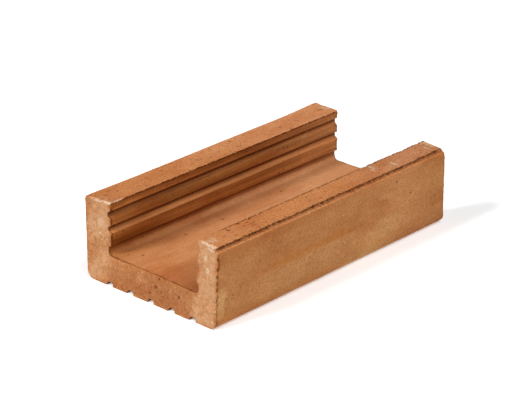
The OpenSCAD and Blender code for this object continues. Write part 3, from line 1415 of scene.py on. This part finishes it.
class NodeSheet:
    """A node tree that is filled node by node."""

    def __init__(self, tree: bpy.types.NodeTree) -> None:
        """Empties the tree."""
        self.tree = tree
        self.tree.nodes.clear()

    def node(
        self,
        kind: str,
        settings: dict[str, Any] | None = None,
        values: dict[str | int, Any] | None = None,
        output: str | int = 0,
    ) -> Signal:
        """Adds a node.

        Args:
            kind: Blender's name of the node's type.
            settings: Properties of the node, set before its sockets.
            values: Signals or constants for its inputs, by name or number.
            output: The output that is handed on.

        Returns:
            The node's output as a signal.
        """
        made = self.tree.nodes.new(kind)
        for name, setting in (settings or {}).items():
            setattr(made, name, setting)
        for key, value in (values or {}).items():
            if isinstance(value, Signal):
                self.tree.links.new(value.socket, made.inputs[key])
            else:
                made.inputs[key].default_value = value
        return Signal(self, made.outputs[output] if made.outputs else None)

    def mark(self, mark: Mark) -> Signal:
        """One of the surface's marks."""
        return self.node("ShaderNodeAttribute", {"attribute_name": mark.value}, output="Fac")

    def times(self, first: Signal, second: Point) -> Signal:
        """A colour or place multiplied by another, part by part."""
        return self.node("ShaderNodeVectorMath", {"operation": "MULTIPLY"}, {0: first, 1: second})

    def scaled(self, colour: Signal, shade: Signal) -> Signal:
        """A colour made lighter or darker by a number."""
        return self.node("ShaderNodeVectorMath", {"operation": "SCALE"}, {0: colour, "Scale": shade})

    def noise(self, place: Signal, kind: "Mottle") -> Signal:
        """Noise from 0 to 1.

        Args:
            place: Where on the surface, in metres.
            kind: How large and how fine it is.

        Returns:
            The noise as a signal.
        """
        values = {
            "Vector": self.times(place, (1.0 / kind.stretch, 1.0, 1.0)),
            "Scale": 1.0 / (kind.lump * MM),
            "Detail": kind.detail,
            "Roughness": kind.roughness,
        }
        return self.node("ShaderNodeTexNoise", None, values)

    def specks(self, place: Signal, kind: "Specks") -> Signal:
        """Scattered round specks, 1 inside and 0 outside.

        Args:
            place: Where on the surface, in metres.
            kind: How large and how many they are.

        Returns:
            The specks as a signal.
        """
        spot = self.times(place, kind.squeeze) if kind.squeeze else place
        values = {"Vector": spot, "Scale": 1.0 / (kind.spacing * MM)}
        away = self.node("ShaderNodeTexVoronoi", None, values)
        cell = self.node("ShaderNodeTexVoronoi", None, values, output="Color")
        lot = self.node("ShaderNodeSeparateColor", None, {0: cell})
        over = (lot - (1.0 - kind.share)) / kind.share
        smallest, softness = 0.4, 0.25
        reach = (smallest + (1.0 - smallest) * over) * (kind.size / kind.spacing)
        soft = softness * kind.size / kind.spacing
        return self.ramp(away - reach, soft, -soft) * (over > 0.0)

    def ramp(self, value: Signal, low: float, high: float) -> Signal:
        """A smooth step that is 0 at the first limit and 1 at the second."""
        values = {"Value": value, "From Min": low, "From Max": high}
        return self.node("ShaderNodeMapRange", {"interpolation_type": "SMOOTHSTEP"}, values)

    def blend(self, share: Signal | float, first: Signal | Colour, second: Signal | Colour) -> Signal:
        """A mix of two colours.

        Args:
            share: How much of the second colour is taken.
            first: Colour at share 0.
            second: Colour at share 1.

        Returns:
            The mixed colour as a signal.
        """
        first_input, second_input, colour_output = 6, 7, 2
        values: dict[str | int, Any] = {0: share}
        for key, colour in ((first_input, first), (second_input, second)):
            values[key] = colour if isinstance(colour, Signal) else (*colour, 1.0)
        return self.node("ShaderNodeMix", {"data_type": "RGBA"}, values, output=colour_output)


@dataclass(frozen=True)
class Mottle:
    """A kind of cloudy or grainy noise.

    Attributes:
        lump: Size of its lumps, in millimetres.
        detail: Number of finer layers.
        stretch: How many times longer the lumps are along the brick than across it.
        roughness: How much the finer layers count.
    """

    lump: float
    detail: float = 2.0
    stretch: float = 1.0
    roughness: float = 0.55


@dataclass(frozen=True)
class Specks:
    """A kind of scattered specks.

    Attributes:
        spacing: Usual distance between the cells that may hold a speck, in millimetres.
        size: Radius of the largest specks, in millimetres.
        share: Share of the cells that hold one.
        squeeze: What places are multiplied by, so that specks are longer where it is under 1.
    """

    spacing: float
    size: float
    share: float
    squeeze: Point | None = None


@dataclass(frozen=True)
class FiredClay:
    """Fired brick clay: matt, cloudy and sandy, chalky on fresh breaks, with painted shade in its holes.

    Attributes:
        name: What the material is called.
        reddened: What the redder clouds multiply the colour by.
        lightened: What the paler patches multiply it by.
        scratched: What dull scratches multiply it by.
        lime: Colour of lime grains, rubbed spots and fresh breaks.
        chalk: Colour of the bloom.
        soot_and_shade: Colour of sooty dirt, burnt specks, and the painted shade in holes, grooves, tears
            and under rims.
        roughness: Roughness of the smoothest spots, and what the grain adds.
        gloss: Strength of the reflections.
        clouds: Redder clouds, drawn out along the brick.
        patches: Paler patches.
        grain: Sand grain.
        fine_grain: Finer sand between it.
        cut_grain: Coarser grain of the cut ends.
        bumps: Finest relief.
        drag: Drag lines along the brick.
        flecks: Gaps in breaks, and in sooty dirt and painted shade.
        bloom: Cloudiness of the chalky bloom.
        lime_grains: Lime grains of the cut ends.
        small_lime: Smaller ones between them.
        rubs: Rubbed spots in the bloom of the tops.
        scratches: Dull scratches of the tops.
        burnt: Burnt specks of every face.
        coarse_burnt: Those of the tops and cut ends.
        drawn_burnt: Those of the faces with drag lines.
    """

    name: str = "fired_clay"
    reddened: Colour = (0.87, 0.76, 0.68)
    lightened: Colour = (1.12, 1.20, 1.30)
    scratched: Colour = (0.60, 0.42, 0.30)
    lime: Colour = (0.62, 0.46, 0.32)
    chalk: Colour = (0.57, 0.36, 0.205)
    soot_and_shade: Colour = (0.12, 0.030, 0.005)
    roughness: tuple[float, float] = (0.8, 0.15)
    gloss: float = 0.08
    clouds: Mottle = Mottle(22.0, detail=4.0, stretch=2.5)
    patches: Mottle = Mottle(8.0, detail=4.0, stretch=1.6)
    grain: Mottle = Mottle(1.5, detail=4.0)
    fine_grain: Mottle = Mottle(0.7, detail=1.0)
    cut_grain: Mottle = Mottle(3.2, detail=1.0)
    bumps: Mottle = Mottle(0.6)
    drag: Mottle = Mottle(2.0, detail=3.0, stretch=40.0)
    flecks: Mottle = Mottle(1.6, detail=3.0)
    bloom: Mottle = Mottle(3.6, detail=5.0)
    lime_grains: Specks = Specks(4.0, size=0.65, share=0.35)
    small_lime: Specks = Specks(2.4, size=0.5, share=0.3)
    rubs: Specks = Specks(3.0, size=0.7, share=0.7, squeeze=(1.0, 0.2, 1.0))
    scratches: Specks = Specks(2.8, size=0.8, share=0.5, squeeze=(0.3, 1.0, 1.0))
    burnt: Specks = Specks(6.0, size=0.5, share=0.4)
    coarse_burnt: Specks = Specks(3.4, size=0.8, share=0.3)
    drawn_burnt: Specks = Specks(5.0, size=0.9, share=0.35)

    def material(self) -> bpy.types.Material:
        """Makes the material.

        Returns:
            The finished material.
        """
        made = bpy.data.materials.new(self.name)
        made.use_nodes = True
        sheet = NodeSheet(made.node_tree)
        place = sheet.node("ShaderNodeTexCoord", output="Object")
        grain = sheet.noise(place, self.grain)
        drag = sheet.noise(place, self.drag)
        colour = self._clay(sheet, place, grain, drag)
        colour = self._blemishes(sheet, place, colour)
        values = {
            "Base Color": colour,
            "Roughness": self.roughness[0] + self.roughness[1] * grain,
            "Specular IOR Level": self.gloss,
            "Normal": self._bump(sheet, place, grain, drag),
        }
        shader = sheet.node("ShaderNodeBsdfPrincipled", None, values)
        sheet.node("ShaderNodeOutputMaterial", None, {"Surface": shader})
        return made

    def _clay(self, sheet: NodeSheet, place: Signal, grain: Signal, drag: Signal) -> Signal:
        """The zones' colours with clouds, patches, drag lines and sand.

        Args:
            sheet: The node tree that is filled.
            place: Where on the surface, in metres.
            grain: Noise of the sand.
            drag: Noise of the drag lines.

        Returns:
            The clay's colour.
        """
        clouds = sheet.ramp(sheet.noise(place, self.clouds), 0.42, 0.68)
        patches = sheet.ramp(sheet.noise(place, self.patches), 0.45, 0.8)
        colour = sheet.node("ShaderNodeAttribute", {"attribute_name": ZONE_COLOUR}, output="Color")
        colour = sheet.blend(clouds, colour, sheet.times(colour, self.reddened))
        colour = sheet.blend(patches, colour, sheet.times(colour, self.lightened))
        streaky, plain_sand, skin_sand, coarse_sand, cut_sand = 1.5, 0.5, 0.35, 0.2, 0.5
        streaks = 1.0 + (drag - 0.5) * streaky * sheet.mark(Mark.DRAG)
        fine = sheet.noise(place, self.fine_grain)
        sandy = plain_sand + skin_sand * sheet.mark(Mark.SAND) + coarse_sand * sheet.mark(Mark.COARSE)
        sand = 1.0 + (grain + fine - 1.0) * sandy
        sand = sand + (sheet.noise(place, self.cut_grain) - 0.5) * cut_sand * sheet.mark(Mark.CUT)
        return sheet.scaled(sheet.scaled(colour, streaks), sand)

    def _blemishes(self, sheet: NodeSheet, place: Signal, colour: Signal) -> Signal:
        """Lays bloom, lime, scratches, burnt specks, fresh breaks, sooty dirt with painted shade, and
        painted shade in holes over a colour.

        Args:
            sheet: The node tree that is filled.
            place: Where on the surface, in metres.
            colour: The colour underneath.

        Returns:
            The colour with them.
        """
        flecks = sheet.noise(place, self.flecks)
        cut = sheet.mark(Mark.CUT)
        coarse = sheet.mark(Mark.COARSE)
        chalk = sheet.mark(Mark.CHALK)
        bloom = sheet.ramp(sheet.noise(place, self.bloom) + 0.4 * chalk, 0.52, 0.98)
        colour = sheet.blend(bloom * sheet.ramp(chalk, 0.0, 0.3) * (0.8 - 0.35 * cut), colour, self.chalk)
        rubs = sheet.specks(place, self.rubs) * sheet.ramp(chalk, 0.05, 0.4)
        lime = (sheet.specks(place, self.lime_grains) * cut).larger(rubs * (coarse - cut))
        lime = lime.larger(sheet.specks(place, self.small_lime) * cut * 0.6)
        colour = sheet.blend(lime * 0.9, colour, self.lime)
        scratches = sheet.specks(place, self.scratches) * (coarse - cut)
        colour = sheet.blend(scratches * 0.6, colour, sheet.times(colour, self.scratched))
        on_coarse = sheet.specks(place, self.coarse_burnt) * (coarse - 0.5 * cut)
        on_drawn = sheet.specks(place, self.drawn_burnt) * sheet.ramp(sheet.mark(Mark.DRAG), 0.3, 0.9)
        burnt = sheet.specks(place, self.burnt).larger(on_coarse).larger(on_drawn)
        colour = sheet.blend(burnt * 0.75, colour, self.soot_and_shade)
        colour = sheet.blend(sheet.mark(Mark.BREAK) * sheet.ramp(flecks, 0.3, 0.55), colour, self.lime)
        # Sooty dirt and painted shade of the tears, grooves, score root and rims
        colour = sheet.blend(sheet.mark(Mark.SOOT) * sheet.ramp(flecks, 0.25, 0.45), colour, self.soot_and_shade)
        # Painted shade inside the pits
        return sheet.blend(sheet.mark(Mark.HOLLOW), colour, self.soot_and_shade)

    def _bump(self, sheet: NodeSheet, place: Signal, grain: Signal, drag: Signal) -> Signal:
        """The finest relief: sand grain, and drag lines on the smooth faces.

        Args:
            sheet: The node tree that is filled.
            place: Where on the surface, in metres.
            grain: Noise of the sand.
            drag: Noise of the drag lines.

        Returns:
            The bent normal.
        """
        line_height, grain_height, bump_height, coarse_height = 1.2, 0.3, 0.4, 0.4
        lines = line_height * drag * sheet.mark(Mark.DRAG)
        bumpy = bump_height + coarse_height * sheet.mark(Mark.COARSE)
        sand = grain_height * grain + sheet.noise(place, self.bumps) * bumpy
        strength, depth = 0.5, 0.4 * MM
        values = {"Strength": strength, "Distance": depth, "Height": lines + sand}
        return sheet.node("ShaderNodeBump", None, values)


@dataclass(frozen=True)
class PlainPaint:
    """One plain colour, for the studio's floor, which gives off a little light.

    Attributes:
        name: What the material is called.
        colour: Its colour, in linear light.
        roughness: How dull it is, from 0 to 1.
        glow: Strength of the light that it gives off.
        gloss: Strength of the reflections.
    """

    name: str
    colour: Colour
    roughness: float
    glow: float
    gloss: float = 0.2

    def material(self) -> bpy.types.Material:
        """Makes the material.

        Returns:
            The finished material.
        """
        made = bpy.data.materials.new(self.name)
        made.use_nodes = True
        sheet = NodeSheet(made.node_tree)
        values = {
            "Base Color": (*self.colour, 1.0),
            "Roughness": self.roughness,
            "Specular IOR Level": self.gloss,
            "Emission Color": WHITE,
            "Emission Strength": self.glow,
        }
        shader = sheet.node("ShaderNodeBsdfPrincipled", None, values)
        sheet.node("ShaderNodeOutputMaterial", None, {"Surface": shader})
        return made


@dataclass(frozen=True)
class SoftLight:
    """A square soft box that points at the brick.

    Attributes:
        name: What the light is called.
        towards: Direction from the brick to the light.
        distance: Distance from the brick, in metres.
        size: Side of the box, in metres.
        power: Strength in watts.
    """

    name: str
    towards: Point
    distance: float
    size: float
    power: float

    def hang(self) -> bpy.types.Object:
        """Adds the light to the scene.

        Returns:
            The light's object.
        """
        data = bpy.data.lights.new(self.name, "AREA")
        data.shape = "SQUARE"
        data.size = self.size
        data.energy = self.power
        light = bpy.data.objects.new(self.name, data)
        away = Vector(self.towards).normalized()
        light.location = away * self.distance
        light.rotation_euler = away.to_track_quat("Z", "Y").to_euler()
        bpy.context.scene.collection.objects.link(light)
        return light


@dataclass
class Studio:
    """A plain pale floor, a key light from the left, a high broad fill and a dim surround.

    Attributes:
        floor_half: Half of the floor's width, in metres.
        floor_paint: The floor's finish.
        horizon: Strength of the surround in a band above the horizon.
        horizon_top: Height of that band above level, in degrees.
        horizon_soft: Softness of its upper border, as a share of its height.
        sky: Strength of the surround overhead.
        key: The light from the left.
        fill: The broad light from above and in front.
    """

    floor_half: float = 6.0
    floor_paint: PlainPaint = PlainPaint("studio_floor", (0.93, 0.93, 0.93), 0.9, glow=0.32)
    horizon: float = 0.15
    horizon_top: float = 14.0
    horizon_soft: float = 0.3
    sky: float = 0.10
    key: SoftLight = SoftLight("key_light", (-0.73, 0.19, 0.66), distance=8.0, size=1.8, power=505.0)
    fill: SoftLight = SoftLight("fill_light", (0.0, -0.53, 0.85), distance=8.0, size=5.8, power=412.0)

    def build(self) -> bpy.types.Object:
        """Lays the floor and lights the scene.

        Returns:
            The floor's object.
        """
        mesh = bpy.data.meshes.new("studio_floor")
        shape = bmesh.new()
        bmesh.ops.create_grid(shape, x_segments=1, y_segments=1, size=self.floor_half)
        shape.to_mesh(mesh)
        shape.free()
        floor = bpy.data.objects.new("studio_floor", mesh)
        mesh.materials.append(self.floor_paint.material())
        bpy.context.scene.collection.objects.link(floor)
        self.key.hang()
        self.fill.hang()
        self._surround()
        return floor

    def _surround(self) -> None:
        """Fills the world with white light, brighter in a band above the horizon than overhead."""
        world = bpy.data.worlds.new("white_surround")
        world.use_nodes = True
        sheet = NodeSheet(world.node_tree)
        direction = sheet.node("ShaderNodeTexCoord", output="Generated")
        height = sheet.node("ShaderNodeSeparateXYZ", None, {0: direction}, output="Z")
        limit = math.sin(math.radians(self.horizon_top))
        band = sheet.ramp(height, (1.0 + self.horizon_soft) * limit, (1.0 - self.horizon_soft) * limit)
        strength = self.sky + (self.horizon - self.sky) * band
        light = sheet.node("ShaderNodeBackground", None, {"Color": WHITE, "Strength": strength})
        sheet.node("ShaderNodeOutputWorld", None, {"Surface": light})
        scene = bpy.context.scene
        scene.world = world
        scene.view_settings.view_transform = "Standard"


@dataclass(frozen=True)
class PhotoCamera:
    """The camera at the photograph's place, found by fitting the brick's edges.

    Attributes:
        azimuth: Turn about the upright axis from the view along +Y, in degrees.
        elevation: Height of the view above level, in degrees.
        roll: Turn of the picture, in degrees.
        distance: Distance from the frame's origin, in metres.
        focal: Focal length in the photograph's pixels.
        aside: Shift of the camera to its right, in metres.
        above: Shift of the camera upward, in metres.
    """

    azimuth: float = -48.24
    elevation: float = 23.979
    roll: float = 0.882
    distance: float = 1.6751
    focal: float = 2371.94
    aside: float = -0.008083
    above: float = 0.02972

    def place(self) -> bpy.types.Object:
        """Adds the camera and makes it the scene's.

        Returns:
            The camera's object.
        """
        turn = math.radians(self.azimuth)
        rise = math.radians(self.elevation)
        back = Vector((math.sin(turn) * math.cos(rise), -math.cos(turn) * math.cos(rise), math.sin(rise)))
        level = Vector((math.cos(turn), math.sin(turn), 0.0))
        upright = back.cross(level)
        lean = math.radians(self.roll)
        right = level * math.cos(lean) + upright * math.sin(lean)
        up = upright * math.cos(lean) - level * math.sin(lean)
        data = bpy.data.cameras.new("photo_camera")
        data.sensor_fit = "HORIZONTAL"
        data.lens = self.focal / PHOTO_WIDTH * data.sensor_width
        camera = bpy.data.objects.new("photo_camera", data)
        spot = back * self.distance + right * self.aside + up * self.above
        camera.matrix_world = Matrix.Translation(spot) @ Matrix((right, up, back)).transposed().to_4x4()
        bpy.context.scene.collection.objects.link(camera)
        bpy.context.scene.camera = camera
        return camera


def main() -> None:
    """Builds the brick and its studio, and reports the pieces."""
    logging.basicConfig(level=logging.INFO, format="%(name)s: %(message)s")
    brick = ChannelBrick()
    piece = brick.build()
    brick.dress(piece, FiredClay())
    piece.data.calc_loop_triangles()
    LOG.info("%s: %d triangles", piece.name, len(piece.data.loop_triangles))
    floor = Studio().build()
    LOG.info("%s laid", floor.name)
    camera = PhotoCamera().place()
    LOG.info("%s placed", camera.name)


if __name__ == "__main__":
    main()
